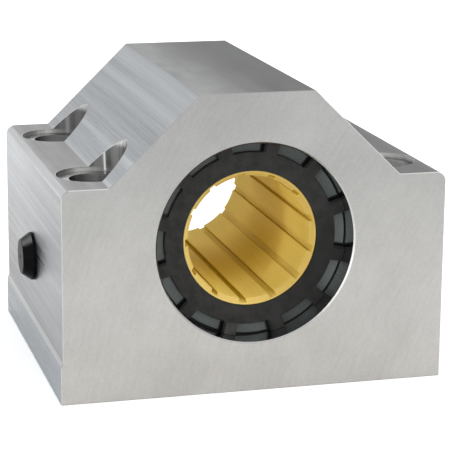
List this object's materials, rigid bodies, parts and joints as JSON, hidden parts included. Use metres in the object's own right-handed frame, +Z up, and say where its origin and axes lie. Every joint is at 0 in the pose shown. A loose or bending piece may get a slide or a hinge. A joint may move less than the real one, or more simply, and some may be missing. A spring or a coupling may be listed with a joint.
{
  "type": "linear bearing block",
  "caption": "Closed linear bearing block: an extruded housing with sloping flanks and screw seats holds a ribbed bearing ring with a grooved sliding liner for a round shaft.",
  "frame": {"origin": "on the shaft axis, halfway along the block", "axes": "+Y along the shaft, from the front end face to the back one; +Z up, away from the mounting face; +X to the right seen from the front"},
  "size_m": [0.0802, 0.067, 0.06],
  "materials": {
    "housing_metal": "satin, sawn and milled ends, plain extruded sides",
    "bearing_plastic": "satin black moulding",
    "liner_plastic": "smooth yellow sliding plastic",
    "plug_plastic": "glossy black moulding"
  },
  "bodies": {
    "root": {"housing": "housing_metal", "bearing_body": "bearing_plastic", "liner": "liner_plastic", "port_plug": "plug_plastic"}
  },
  "joints": []
}
